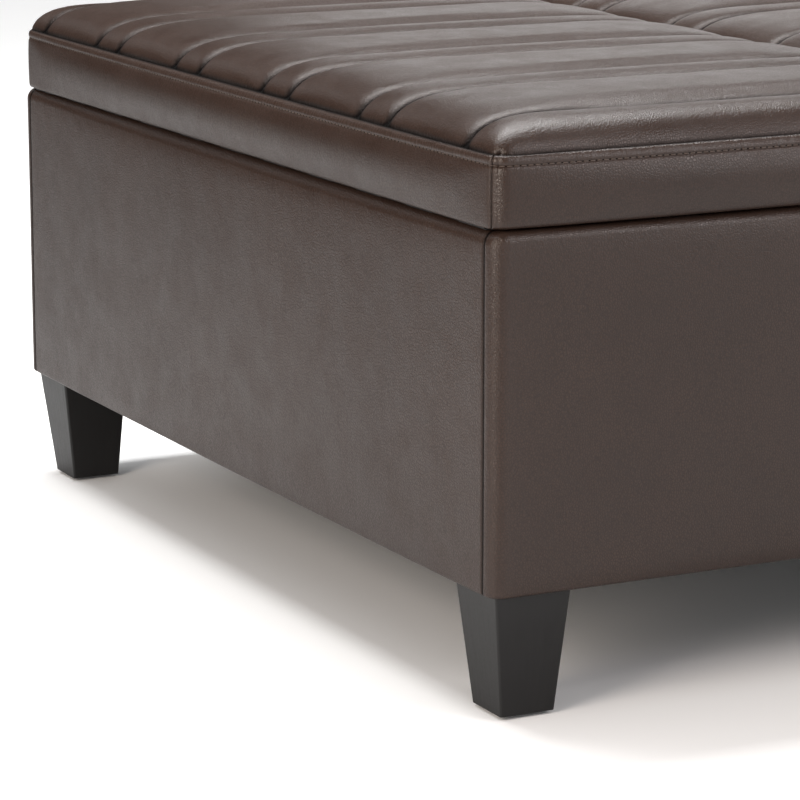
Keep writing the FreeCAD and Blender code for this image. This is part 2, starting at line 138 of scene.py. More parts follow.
class Shader:
    """A material made by naming its nodes and what goes into them."""

    def __init__(self, name, **constants):
        self.material = bpy.data.materials.new(name)
        self.material.use_nodes = True
        self.tree = self.material.node_tree
        self.surface = self.tree.nodes["Principled BSDF"]
        self.put(self.surface, constants)

    def put(self, node, inputs):
        for key, value in inputs.items():
            name = key.replace("_", " ") if isinstance(key, str) else key
            socket = node.inputs[name]
            if isinstance(value, Value):
                self.tree.links.new(value.socket, socket)
            elif value is not None:
                socket.default_value = value

    def node(self, kind, settings=None, inputs=None, output=0):
        made = self.tree.nodes.new("ShaderNode" + kind)
        for key, value in (settings or {}).items():
            if key == "stops":
                ramp_stops(made.color_ramp, value)
            else:
                setattr(made, key, value)
        self.put(made, inputs or {})
        return Value(self, made.outputs[output])

    def math(self, operation, first, second=None):
        return self.node("Math", {"operation": operation}, {0: first, 1: second})

    def place(self):
        return self.node("TexCoord", output="Object")

    def stretched(self, x, y, z):
        """Object coordinates scaled along each axis, for grain that runs one way."""
        return self.node("Mapping", None, {"Vector": self.place(), "Scale": (x, y, z)})

    def noise(self, scale, detail=2.0, vector=None):
        where = vector or self.place()
        return self.node("TexNoise", None, {"Vector": where, "Scale": scale, "Detail": detail})

    def cells(self, scale, feature="DISTANCE_TO_EDGE", vector=None):
        where = vector or self.place()
        return self.node("TexVoronoi", {"feature": feature}, {"Vector": where, "Scale": scale})

    def ramp(self, value, *stops):
        return self.node("ValToRGB", {"stops": stops}, {"Fac": value})

    def fit(self, value, low, high, new_low=0.0, new_high=1.0):
        inputs = {"Value": value, "From_Min": low, "From_Max": high,
                  "To_Min": new_low, "To_Max": new_high}
        return self.node("MapRange", None, inputs)

    def mix(self, factor, first, second):
        settings = {"data_type": "RGBA"}
        return self.node("Mix", settings, {0: factor, 6: first, 7: second}, output=2)

    def attribute(self, name):
        return self.node("Attribute", {"attribute_name": name}, output="Fac")

    def bump(self, height, depth, strength=1.0, under=None):
        inputs = {"Height": height, "Distance": depth, "Strength": strength, "Normal": under}
        return self.node("Bump", None, inputs)

    def finish(self, **inputs):
        self.put(self.surface, inputs)
        return self.material


def ramp_stops(ramp, stops):
    while len(ramp.elements) < len(stops):
        ramp.elements.new(0.5)
    for element, (position, level) in zip(ramp.elements, stops):
        element.position = position
        element.color = (level, level, level, 1)


def rgb(red, green, blue):
    return (red, green, blue, 1)


def make_leather():
    """Dark brown faux leather: fine pebble grain, soft wrinkles, puckers at the seams, painted
    shade in the creases and seams, and a painted highlight along the seams.
    """
    s = Shader("brown leather", Specular_IOR_Level=0.5)
    warp = s.noise(160, 2)
    drawn = s.node("Mapping", None, {"Vector": s.place(), "Scale": (1.0, 1.0, 0.8)})
    pebbles = s.math("MINIMUM", s.cells(520, vector=drawn) * 4.0, 1.0)
    fine = s.noise(1300, 2)
    wrinkles = s.noise(70, 3)
    cloudy = s.noise(6, 3)
    patches = s.noise(34, 3)
    seam = s.attribute("seam")
    crease = s.attribute("crease")
    tone = s.fit(cloudy * 0.6 + patches * 0.4, 0.36, 0.64)
    base = s.mix(tone, rgb(0.0355, 0.0178, 0.0115), rgb(0.0470, 0.0252, 0.0172))
    valley = s.mix(pebbles * 0.7 + fine * 0.3, rgb(0.018, 0.0098, 0.0072), base)
    # Lighter colour: random wear specks from the fine noise, and a painted highlight from the seam
    # mask where the puckers catch light.
    wear_and_seam_highlight = s.mix(s.fit(fine, 0.55, 0.75) * 0.4 + seam * 0.22, valley, rgb(0.062, 0.039, 0.030))
    # Painted shade: the crease mask darkens the colour almost to black in the channel creases and
    # seams.
    painted_crease_shade = s.mix(crease, wear_and_seam_highlight, rgb(0.005, 0.003, 0.0025))
    rough = s.fit(patches, 0.3, 0.7, 0.28, 0.37) + (1 - pebbles) * 0.10 + crease * 0.06
    grain = s.bump(pebbles * 0.6 + fine * 0.2 + warp * 0.2, 0.0004, 0.44)
    soft = s.bump(wrinkles, 0.0024, 0.15, grain)
    pinched = s.noise(330, 2, s.stretched(1.0, 1.0, 0.5))
    pulled = s.bump(pinched * seam, 0.0016, 0.42, soft)
    # Metallic from the crease mask is part of the same painted shade: with the near-black colour
    # it takes the diffuse light out of the creases.
    return s.finish(Base_Color=painted_crease_shade, Roughness=rough, Metallic=crease * 0.9, Normal=pulled)


def make_thread():
    s = Shader("brown thread", Roughness=0.6)
    fibre = s.noise(2600, 2)
    colour = s.mix(fibre, rgb(0.070, 0.050, 0.041), rgb(0.170, 0.130, 0.108))
    return s.finish(Base_Color=colour, Normal=s.bump(fibre, 0.0002, 0.6))


# Near-black painted shade for the needle holes: each dark cap stands for the shadow inside a hole.
def make_hole_shade():
    s = Shader("needle hole", Specular_IOR_Level=0.1)
    ragged = s.noise(1800, 2)
    colour = s.mix(ragged, rgb(0.002, 0.0015, 0.001), rgb(0.008, 0.005, 0.004))
    return s.finish(Base_Color=colour, Roughness=s.fit(ragged, 0.3, 0.7, 0.85, 0.95))


def make_leg_lacquer():
    """Black stained hardwood under a satin lacquer, with a trace of upright grain."""
    s = Shader("black leg lacquer", Specular_IOR_Level=0.5)
    grain = s.noise(14, 4, s.stretched(22, 22, 1.2))
    brushed = s.noise(420, 2)
    colour = s.mix(grain, rgb(0.0045, 0.0042, 0.0045), rgb(0.011, 0.010, 0.010))
    rough = s.fit(grain * 0.6 + brushed * 0.4, 0.3, 0.7, 0.34, 0.44)
    return s.finish(Base_Color=colour, Roughness=rough,
                    Normal=s.bump(grain + brushed * 0.2, 0.0003, 0.22))


def make_board_wood(name, dark, light, lengthways):
    s = Shader(name)
    grain = s.noise(9, 5, s.stretched(*lengthways))
    pores = s.noise(300, 3, s.stretched(*lengthways))
    colour = s.mix(grain * 0.75 + pores * 0.25, dark, light)
    rough = s.fit(pores, 0.3, 0.7, 0.55, 0.72)
    return s.finish(Base_Color=colour, Roughness=rough,
                    Normal=s.bump(grain * 0.4 + pores * 0.6, 0.0006, 0.35))


def make_fabric(name, dark, light, pitch, nonwoven=False):
    """A plain weave, or felted fibres where nonwoven."""
    s = Shader(name, Roughness=0.86, Sheen_Weight=0.25)
    if nonwoven:
        threads = s.noise(1.4 / pitch, 4)
    else:
        ways = [s.node("TexWave", {"wave_type": "BANDS", "bands_direction": way},
                       {"Vector": s.place(), "Scale": 0.32 / pitch, "Distortion": 0.6,
                        "Detail": 1.0, "Detail_Scale": 2.0}, output="Fac")
                for way in ("X", "Y", "Z")]
        threads = (ways[0] + ways[1] + ways[2]) / 3
    slub = s.noise(60, 3)
    colour = s.mix(threads * 0.55 + slub * 0.45, dark, light)
    return s.finish(Base_Color=colour, Normal=s.bump(threads, 0.0006, 0.7))


def make_metal(name, colour, rough, brushed=(1, 1, 1)):
    s = Shader(name, Metallic=1.0)
    streaks = s.noise(500, 3, s.stretched(*brushed))
    cloud = s.noise(35, 3)
    darker = rgb(*(c * 0.78 for c in colour[:3]))
    gloss = s.fit(streaks * 0.6 + cloud * 0.4, 0.3, 0.7, rough - 0.06, rough + 0.08)
    return s.finish(Base_Color=s.mix(cloud, darker, colour), Roughness=gloss,
                    Normal=s.bump(streaks, 0.0001, 0.25))


def make_painted(name, colour, rough):
    s = Shader(name)
    orange_peel = s.noise(800, 2)
    scuffs = s.noise(60, 4)
    lighter = rgb(*(c * 1.6 + 0.004 for c in colour[:3]))
    return s.finish(Base_Color=s.mix(scuffs, colour, lighter),
                    Roughness=s.fit(scuffs, 0.3, 0.7, rough - 0.07, rough + 0.07),
                    Normal=s.bump(orange_peel, 0.0001, 0.4))


leather = make_leather()
thread = make_thread()
hole_shade = make_hole_shade()
leg_lacquer = make_leg_lacquer()
plywood = make_board_wood("birch plywood",
                          rgb(0.36, 0.235, 0.125), rgb(0.56, 0.40, 0.235), (3, 24, 24))
softwood = make_board_wood("stained softwood",
                           rgb(0.035, 0.023, 0.016), rgb(0.085, 0.058, 0.038), (24, 2, 24))
lining_cloth = make_fabric("woven lining",
                           rgb(0.007, 0.006, 0.0055), rgb(0.050, 0.042, 0.036), 0.0020)
dust_cloth = make_fabric("black dust cover",
                         rgb(0.006, 0.006, 0.006), rgb(0.022, 0.022, 0.023), 0.0012, True)
zinc = make_metal("zinc plated steel", rgb(0.56, 0.57, 0.58), 0.32, (1, 1, 12))
black_steel = make_painted("blackened steel", rgb(0.004, 0.004, 0.0045), 0.60)
rubber = make_painted("bumper rubber", rgb(0.030, 0.029, 0.028), 0.72)
glide_plastic = make_painted("black nylon", rgb(0.014, 0.014, 0.015), 0.48)
foam_stuff = make_fabric("cream foam", rgb(0.52, 0.44, 0.30), rgb(0.66, 0.58, 0.42), 0.0016, True)


# ---------------------------------------------------------------- shaping helpers

def deselect_all():
    bpy.ops.object.select_all(action="DESELECT")


def use(piece):
    deselect_all()
    piece.select_set(True)
    bpy.context.view_layer.objects.active = piece


def points_of(piece):
    flat = np.empty(len(piece.data.vertices) * 3)
    piece.data.vertices.foreach_get("co", flat)
    return flat.reshape(-1, 3)


def set_points(piece, points):
    piece.data.vertices.foreach_set("co", np.asarray(points, np.float64).ravel())
    piece.data.update()


def smooth(piece, angle=None):
    use(piece)
    if angle is None:
        bpy.ops.object.shade_smooth()
    else:
        bpy.ops.object.shade_smooth_by_angle(angle=math.radians(angle))


def recalculate_normals(piece):
    use(piece)
    bpy.ops.object.mode_set(mode="EDIT")
    bpy.ops.mesh.select_all(action="SELECT")
    bpy.ops.mesh.remove_doubles(threshold=0.00002)
    bpy.ops.mesh.normals_make_consistent(inside=False)
    bpy.ops.object.mode_set(mode="OBJECT")


def thicken(piece, thickness, offset=-1.0):
    use(piece)
    solid = piece.modifiers.new("thickness", "SOLIDIFY")
    solid.thickness = thickness
    solid.offset = offset
    bpy.ops.object.modifier_apply(modifier=solid.name)


def ripple(x, y, z, size, seed):
    """Smooth unevenness from -1 to 1 over a length of about size."""
    return noise.noise(Vector((x / size + seed * 17.3, y / size, z / size)))


def ripples(points, size, seed):
    return np.array([ripple(x, y, z, size, seed) for x, y, z in points])


def spaced(start, finish, step):
    """Even stations between two places, the ends left out."""
    count = max(1, int(round(abs(finish - start) / step)))
    return [start + (finish - start) * i / count for i in range(1, count)]


def gridded_block(name, stations):
    """A grid raised level by level into a block, its points moved to the stations."""
    counts = [len(places) for places in stations]
    deselect_all()
    bpy.ops.mesh.primitive_grid_add(x_subdivisions=counts[0] - 1, y_subdivisions=counts[1] - 1,
                                    size=1)
    block = bpy.context.object
    block.name = name
    bpy.ops.object.mode_set(mode="EDIT")
    bpy.ops.mesh.select_all(action="SELECT")
    for level in range(counts[2] - 1):
        bpy.ops.mesh.extrude_region_move(TRANSFORM_OT_translate={"value": (0, 0, 1)})
    bpy.ops.mesh.select_all(action="SELECT")
    bpy.ops.mesh.normals_make_consistent(inside=False)
    bpy.ops.object.mode_set(mode="OBJECT")
    unit = points_of(block)
    index = np.empty(unit.shape, int)
    moved = np.empty(unit.shape)
    for axis, places in enumerate(stations):
        share = unit[:, axis] if axis == 2 else (unit[:, axis] + 0.5) * (counts[axis] - 1)
        index[:, axis] = np.rint(share).astype(int)
        moved[:, axis] = np.array(places)[index[:, axis]]
    set_points(block, moved)
    return block, index


def round_corners(x, y, low, high, radius):
    """Moves plan points so that a rectangle's corners become arcs."""
    x, y = x.copy(), y.copy()
    for corner_x, in_x in ((low[0], 1), (high[0], -1)):
        for corner_y, in_y in ((low[1], 1), (high[1], -1)):
            across = radius - (x - corner_x) * in_x
            along = radius - (y - corner_y) * in_y
            near = (across > 0) & (along > 0)
            reach = np.hypot(across[near], along[near])
            scale = np.maximum(across[near], along[near]) / np.maximum(reach, 1e-9)
            x[near] = corner_x + in_x * (radius - across[near] * scale)
            y[near] = corner_y + in_y * (radius - along[near] * scale)
    return x, y


# ---------------------------------------------------------------- padded lids

def channel_places():
    """Where the sewn channels lie along the lid, from the front edge to the back."""
    first = [WIDE_BAND / 2, WIDE_BAND / 2 + NARROW_BAND]
    second = [place + WIDE_BAND + NARROW_BAND for place in first]
    positive = first + second + [second[-1] + WIDE_BAND]
    return sorted([-place for place in positive] + positive)


def lid_stations(low, high):
    """Grid places across, along and up a lid, closer together where it curves."""
    edge = [0, 0.6, 1.5, 2.8, 4.5, 7, 10, 13.5, 17.5, 22, 27.5, 34, 42]
    edge = [place * MM for place in edge]
    across = [low.x + e for e in edge] + spaced(low.x + edge[-1], high.x - edge[-1], 10 * MM)
    across += [high.x - e for e in reversed(edge)]
    near = [0.6, 1.3, 2.2, 3.4, 5, 7.5, 11.5]
    near = [-n * MM for n in reversed(near)] + [0] + [n * MM for n in near]
    ends = edge[:5] + [place * MM for place in (6, 7, 8)] + edge[6:9]
    along = [low.y + e for e in ends]
    previous = along[-1]
    for channel in channel_places():
        along += spaced(previous, channel + near[0], 7 * MM)
        along += [channel + n for n in near]
        previous = along[-1]
    along += spaced(previous, high.y - edge[8], 7 * MM)
    along += [high.y - e for e in reversed(ends)]
    drops = [49.3, 48.9, 48.2, 47.2, 45.8, 43.5, 40, 35.5, 31, 26, 21.5, 17.5, 14, 11.5, 9.8, 8.6,
             7.9, 7.3, 6.7, 6, 4.8, 3.4, 2.2, 1.3, 0.7, 0.3, 0]
    depth = (LID_SEAM - LID_BOTTOM) / (drops[0] * MM)
    up = [LID_SEAM - drop * MM * depth for drop in drops]
    return across, along, up


def boxing_offset(drop):
    """How far the seams, and apart from them the under roll, move the side at each drop."""
    height = LID_SEAM - LID_BOTTOM
    rib = 0.5 * MM * np.exp(-((drop - 3.4 * MM) / (2.2 * MM)) ** 2)
    seam = -1.3 * MM * np.exp(-(drop / (0.6 * MM)) ** 2)
    row = -1.1 * MM * np.exp(-((drop - STITCH_DROP) / (0.9 * MM)) ** 2)
    over = np.clip(drop - (height - LID_ROLL), 0, LID_ROLL)
    roll = -(LID_ROLL - np.sqrt(np.maximum(LID_ROLL ** 2 - over ** 2, 0)))
    lean = -1.6 * MM * np.exp(-drop / (6 * MM))
    return rib + seam + row + lean, roll


def belly(drop):
    """The swell of the padded side between its corners, from 0 to 1."""
    height = LID_SEAM - LID_BOTTOM
    lower = np.clip((drop - 0.6 * STITCH_DROP) / (height - 0.6 * STITCH_DROP), 0, 1)
    return 0.35 * (1 - np.exp(-drop / (4 * MM))) + 0.65 * np.sin(np.pi * lower ** 0.9)


def pillow_height(y, channels):
    """The puffed shape of the bands between channels; 0 on a channel."""
    lines = [-HALF_Y] + channels + [HALF_Y]
    height = np.zeros_like(y)
    for low, high in zip(lines, lines[1:]):
        inside = (y >= low) & (y <= high)
        across = (y[inside] - low) / (high - low)
        puff = PILLOW if high - low > 1.5 * NARROW_BAND else PILLOW * 0.6
        height[inside] = puff * (1 - np.abs(2 * across - 1) ** 2.4)
    nearest = np.min(np.abs(y[:, None] - np.array(channels)[None, :]), axis=1)
    return height + CREASE_DEPTH * (1 - np.exp(-nearest / CREASE_WIDTH)), nearest


def corner_seam_depth(near_x, near_y):
    """The upright seam sewn into each corner, a little round towards the long side."""
    line = np.exp(-((near_y - LID_CORNER_SEAM_INSET) / (0.7 * MM)) ** 2)
    return LID_CORNER_SEAM * line * (near_x < 0.2 * MM)


def shape_lid(block, index, stations, low, high, seed):
    """Turns a gridded block into a crowned, channelled pad."""
    points = points_of(block)
    x, y, z = points.T
    counts = [len(places) for places in stations]
    top = index[:, 2] == counts[2] - 1
    bottom = index[:, 2] == 0
    to_left, to_right = x - low.x, high.x - x
    to_front, to_back = y - low.y, high.y - y
    near_x = np.minimum(to_left, to_right)
    near_y = np.minimum(to_front, to_back)
    sign_x = np.where(to_left < to_right, -1.0, 1.0)
    sign_y = np.where(to_front < to_back, -1.0, 1.0)
    drop = LID_SEAM - z
    plan_x, plan_y = round_corners(x, y, (low.x, low.y), (high.x, high.y), CORNER_RADIUS)

    offset, roll = boxing_offset(drop)
    hinged = sign_x * (low.x + high.x) > 0
    middle_x, half_x = (low.x + high.x) / 2, (high.x - low.x) / 2
    bow_x = 1 - np.clip(np.abs(y) / HALF_Y, 0, 1) ** BOW
    bow_y = 1 - np.clip(np.abs(x - middle_x) / half_x, 0, 1) ** BOW
    outer = np.where(sign_x * middle_x > 0, 1.0, 0.15)
    swell = belly(drop) * SIDE_BULGE
    above = np.clip((z - low.z) / (12 * MM), 0, 1) ** 0.7
    fade = np.where(bottom, 8 * MM, BULGE_REACH)
    out_x = offset + roll * np.where(hinged, 0.25, 1.0)
    out_y = offset + roll
    swell_x = swell * outer * bow_x * np.where(hinged, above, 1.0)
    shift_x = out_x * np.exp(-near_x / ROLL_REACH) + swell_x * np.exp(-near_x / fade)
    shift_y = out_y * np.exp(-near_y / ROLL_REACH) + swell * bow_y * np.exp(-near_y / fade)
    tight_x = CORNER_PULL * np.exp(-near_y / PULL_LENGTH) * np.exp(-near_x / PULL_REACH)
    tight_y = CORNER_PULL * np.exp(-near_x / PULL_LENGTH) * np.exp(-near_y / PULL_REACH)
    seam = corner_seam_depth(near_x, near_y) * ~(top | bottom)
    new_x = plan_x + sign_x * (shift_x - tight_x - seam)
    new_y = plan_y + sign_y * (shift_y - tight_y - seam)

    fall_x = np.exp(-near_x / CROWN_ROLL)
    fall_y = np.exp(-near_y / CROWN_ROLL)
    blend = 3.0
    fall = np.clip((fall_x ** blend + fall_y ** blend) ** (1 / blend), 0, 1)
    crown = (TOP_HIGH.z - LID_SEAM - PILLOW - CREASE_DEPTH) * (1 - fall)
    lip_x = np.clip((1.5 * MM - near_x) / (0.9 * MM), 0, 1) * hinged
    lip_y = np.clip(1.4 - near_y / (2.0 * MM), 0, 1)
    lip = LIP * np.maximum(lip_x, lip_y)
    low_edge = np.clip((drop - 40 * MM) / (9.3 * MM), 0, 1)
    new_z = np.where(top, z + crown, z - lip * low_edge) - WRAP * bottom
    set_points(block, np.stack([new_x, new_y, new_z], axis=1))

    puff_top(block, index, counts, top, near_x, near_y, y, seed)


def puff_top(block, index, counts, top, near_x, near_y, y, seed):
    """Raises the bands between channels along the surface, and makes them uneven."""
    points = points_of(block)
    # The seam mask raises puckers and also lightens the colour, a painted highlight, at the top's
    # edges, along the channels and at the corners.
    seam = block.data.attributes.new("seam", "FLOAT", "POINT")
    crease = block.data.attributes.new("crease", "FLOAT", "POINT")
    drop = LID_SEAM - points[:, 2]
    pulled = np.exp(-((drop - 0.5 * STITCH_DROP) / (7 * MM)) ** 2) * ~top
    pulled[top] = 0.5 * np.exp(-np.minimum(near_x, near_y)[top] / (6 * MM))
    grid = np.zeros((counts[0], counts[1], 3))
    rows, columns = index[top, 0], index[top, 1]
    grid[rows, columns] = points[top]
    across = np.gradient(grid, axis=0)
    along = np.gradient(grid, axis=1)
    normal = np.cross(across, along)
    normal /= np.maximum(np.linalg.norm(normal, axis=2, keepdims=True), 1e-12)
    inset = np.minimum(near_x, near_y)[top]
    kept = 1 - np.exp(-inset / (7 * MM))
    height, nearest = pillow_height(y[top], channel_places())
    height *= kept
    flat = points[top]
    height += 0.55 * MM * ripples(flat, 75 * MM, seed) * kept * (1 - np.exp(-nearest / (12 * MM)))
    height += 0.25 * MM * ripples(flat, 28 * MM, seed + 3) * kept
    points[top] += normal[rows, columns] * height[:, None]
    pulled[top] += 0.45 * np.exp(-nearest / (5 * MM))
    # The crease mask is painted shade: darker colour in the channel creases, along the top's edge,
    # at the side seam and in the corner seams.
    painted_crease_shade = np.zeros(len(points))
    painted_crease_shade[top] = np.exp(-(nearest / (4.4 * MM)) ** 2)
    painted_crease_shade[top] += 0.8 * np.exp(-(inset / (1.8 * MM)) ** 2)
    painted_crease_shade += np.exp(-(drop / (0.5 * MM)) ** 2) * ~top
    upright = (corner_seam_depth(near_x, near_y) > 0.7 * LID_CORNER_SEAM) & ~top
    painted_crease_shade[upright] += 0.8
    pulled += 0.8 * np.exp(-(near_x + near_y) / (16 * MM)) * ~top
    seam.data.foreach_set("value", np.clip(pulled, 0, 1))
    crease.data.foreach_set("value", np.clip(painted_crease_shade, 0, 1))
    set_points(block, points)


def settle(block, pinned):
    """Lets the leather settle over its foam: cloth under pressure, held at its seams."""
    before = points_of(block)
    group = block.vertex_groups.new(name="sewn")
    group.add([int(i) for i in np.nonzero(pinned)[0]], 1.0, "REPLACE")
    use(block)
    cloth = block.modifiers.new("leather", "CLOTH")
    cloth.settings.vertex_group_mass = group.name
    cloth.settings.quality = 3
    cloth.settings.mass = 0.6
    cloth.settings.tension_stiffness = 40
    cloth.settings.compression_stiffness = 40
    cloth.settings.shear_stiffness = 20
    cloth.settings.bending_stiffness = 4
    cloth.settings.use_pressure = True
    cloth.settings.uniform_pressure_force = PRESSURE
    cloth.settings.effector_weights.gravity = 0
    cloth.point_cache.frame_start = 1
    cloth.point_cache.frame_end = SETTLING_FRAMES
    scene = bpy.context.scene
    for step in range(1, SETTLING_FRAMES + 1):
        scene.frame_set(step)
    bpy.ops.object.modifier_apply(modifier=cloth.name)
    scene.frame_set(1)
    moved = points_of(block) - before
    length = np.linalg.norm(moved, axis=1, keepdims=True)
    limited = moved * np.minimum(1, FURTHEST_MOVE / np.maximum(length, 1e-9))
    set_points(block, before + limited)
    block.vertex_groups.clear()


def rounded_pin(radius, length, sides):
    """One thread stitch or needle hole, lying along Z."""
    deselect_all()
    bpy.ops.mesh.primitive_cylinder_add(vertices=sides, radius=radius, depth=length)
    pin = bpy.context.object
    bpy.ops.object.mode_set(mode="EDIT")
    bpy.ops.mesh.select_all(action="SELECT")
    bpy.ops.mesh.bevel(offset=min(radius, length / 2) * 0.55, segments=1, affect="EDGES")
    bpy.ops.object.mode_set(mode="OBJECT")
    shape = points_of(pin)
    faces = [tuple(face.vertices) for face in pin.data.polygons]
    bpy.data.objects.remove(pin)
    return shape, faces


def sew_row(name, paths, pin, material, shift, lift, body):
    """Copies a pin along surface lines, one at each stitch, shifted by part of a pitch."""
    shape, faces = pin
    points, polygons = [], []
    for path in paths:
        for centre, along, out in evenly(path, STITCH_PITCH, shift):
            side = np.cross(out, along)
            side /= max(np.linalg.norm(side), 1e-9)
            turn = np.stack([side, out, along])
            start = len(points) * len(shape)
            points.append(shape @ turn + centre + out * lift)
            polygons += [tuple(v + start for v in face) for face in faces]
    mesh = bpy.data.meshes.new(name)
    mesh.from_pydata(np.concatenate(points).tolist(), [], polygons)
    row = bpy.data.objects.new(name, mesh)
    bpy.context.scene.collection.objects.link(row)
    smooth(row)
    dress(row, material, body)


def evenly(path, pitch, shift):
    """Centre, direction and outward normal at even steps along a surface line."""
    points, normals = path
    steps = np.linalg.norm(np.diff(points, axis=0), axis=1)
    reach = np.concatenate([[0], np.cumsum(steps)])
    count = int(reach[-1] / pitch)

    def at(distance, values):
        return np.array([np.interp(distance, reach, values[:, axis]) for axis in range(3)])

    for number in range(count):
        here = (number + 0.5 + shift) * reach[-1] / count
        along = at(here + pitch * 0.2, points) - at(here - pitch * 0.2, points)
        along /= max(np.linalg.norm(along), 1e-9)
        out = at(here, normals)
        out -= along * (out @ along)
        yield at(here, points), along, out / max(np.linalg.norm(out), 1e-9)


def dress(piece, material, body):
    piece.data.materials.clear()
    piece.data.materials.append(material)
    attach(piece, body)


def normals_of(piece):
    flat = np.empty(len(piece.data.vertices) * 3)
    piece.data.vertices.foreach_get("normal", flat)
    return flat.reshape(-1, 3)


def line_of(piece, select, order):
    """Surface points and normals of the grid vertices picked, in order."""
    chosen = np.nonzero(select)[0]
    chosen = chosen[np.argsort(order[chosen])]
    return points_of(piece)[chosen], normals_of(piece)[chosen]


def ring_order(index, counts):
    """A number that grows once round the sides of a gridded block."""
    i, j = index[:, 0], index[:, 1]
    last_i, last_j = counts[0] - 1, counts[1] - 1
    front = np.where(j == 0, i, 0)
    right = np.where((i == last_i) & (j > 0), last_i + j, 0)
    back = np.where((j == last_j) & (i < last_i), last_i + last_j + (last_i - i), 0)
    left = np.where((i == 0) & (j > 0) & (j < last_j), 2 * last_i + last_j + (last_j - j), 0)
    return front + right + back + left


def make_lid(name, seed):
    body = "lid_" + name
    low = Vector(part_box(body + "_side_cover")[0])
    high = Vector(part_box(body + "_side_cover")[1])
    stations = lid_stations(low, high)
    counts = [len(places) for places in stations]
    pad, index = gridded_block(body + "_pad", stations)
    shape_lid(pad, index, stations, low, high, seed)
    channels = [min(range(counts[1]), key=lambda j: abs(stations[1][j] - place))
                for place in channel_places()]
    row_level = min(range(counts[2]), key=lambda k: abs(LID_SEAM - stations[2][k] - STITCH_DROP))
    sides = ((index[:, 0] == 0) | (index[:, 0] == counts[0] - 1)
             | (index[:, 1] == 0) | (index[:, 1] == counts[1] - 1))
    top = index[:, 2] == counts[2] - 1
    sewn = top & np.isin(index[:, 1], channels)
    sewn |= sides & (index[:, 2] >= row_level)
    sewn |= index[:, 2] <= 2
    settle(pad, sewn)
    smooth(pad)
    dress(pad, leather, body)
    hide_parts(body + "_top_cover", body + "_side_cover", body + "_foam")
    order = ring_order(index, counts)
    row = line_of(pad, sides & (index[:, 2] == row_level), order)
    row = tuple(np.concatenate([part, part[:1]]) for part in row)
    stitch = rounded_pin(THREAD_RADIUS, STITCH_LENGTH, 6)
    hole = rounded_pin(HOLE_RADIUS, HOLE_DEPTH, 8)
    sew_row(body + "_edge_stitches", [row], stitch, thread, 0, STITCH_LIFT, body)
    # Dark caps between the stitches, painted shade of the needle holes.
    sew_row(body + "_edge_hole_shades", [row], hole, hole_shade, 0.5, HOLE_LIFT, body)
    return pad


# ---------------------------------------------------------------- padded box

def box_outline():
    """Stations once round the box: on a side or an arc, its number, and the share along it."""
    stations = []
    arc_steps = 7
    for number in range(4):
        run = (HALF_Y if number % 2 else HALF_X) - CORNER_RADIUS
        near = [place * MM for place in (0, 1.2, 2.6, 3.6, 4.6, 5.6, 7, 10, 15, 22, 32)]
        places = [-run + n for n in near] + spaced(-run + near[-1], run - near[-1], 14 * MM)
        places += [run - n for n in reversed(near)]
        for place in places:
            stations.append(("side", number, place / run))
        for step in range(1, arc_steps):
            stations.append(("arc", number, step / arc_steps))
    return stations


def outline_point(station, offset):
    """Plan point of a station, moved out by offset, with square inner corners."""
    kind, number, share = station
    extra = min(CORNER_RADIUS + offset, 0)
    arm = max(CORNER_RADIUS + offset, 0)
    angle = (number - 1) * math.pi / 2
    out = Vector((math.cos(angle), math.sin(angle)))
    along = Vector((-out.y, out.x))
    deep = HALF_X if number % 2 else HALF_Y
    long = HALF_Y if number % 2 else HALF_X
    if kind == "side":
        return out * (deep + offset) + along * share * (long - CORNER_RADIUS + extra), out
    centre = out * (deep - CORNER_RADIUS + extra) + along * (long - CORNER_RADIUS + extra)
    normal = out * math.cos(share * math.pi / 2) + along * math.sin(share * math.pi / 2)
    return centre + normal * arm, normal


def sleeve_profile(roll):
    """Offsets and heights of the leather from its inner top edge to its under edge."""
    wall = HALF_X - CAVITY.x
    lift = BODY_TOP + 0.5 * MM
    hem = 3 * MM
    inside = [(-wall - 2.6 * MM, BODY_TOP - drop * MM) for drop in (10, 5, 1.2)]
    top = [(-wall + place * MM, lift) for place in (-1.5, 4, 9, 14)]
    over = [(-roll + roll * math.sin(a), lift - roll + roll * math.cos(a))
            for a in (math.radians(angle) for angle in (0, 15, 30, 45, 60, 75, 90))]
    face_low = BODY_BOTTOM + hem
    face = [(0.0, z) for z in spaced(lift - roll, face_low, 13 * MM)]
    under = [(-hem + hem * math.cos(a), face_low - hem * math.sin(a))
             for a in (math.radians(angle) for angle in (0, 22, 45, 67, 90))]
    flap = [(-place * MM, BODY_BOTTOM) for place in (6, 12, 20)]
    return inside + top + over + face + under + flap


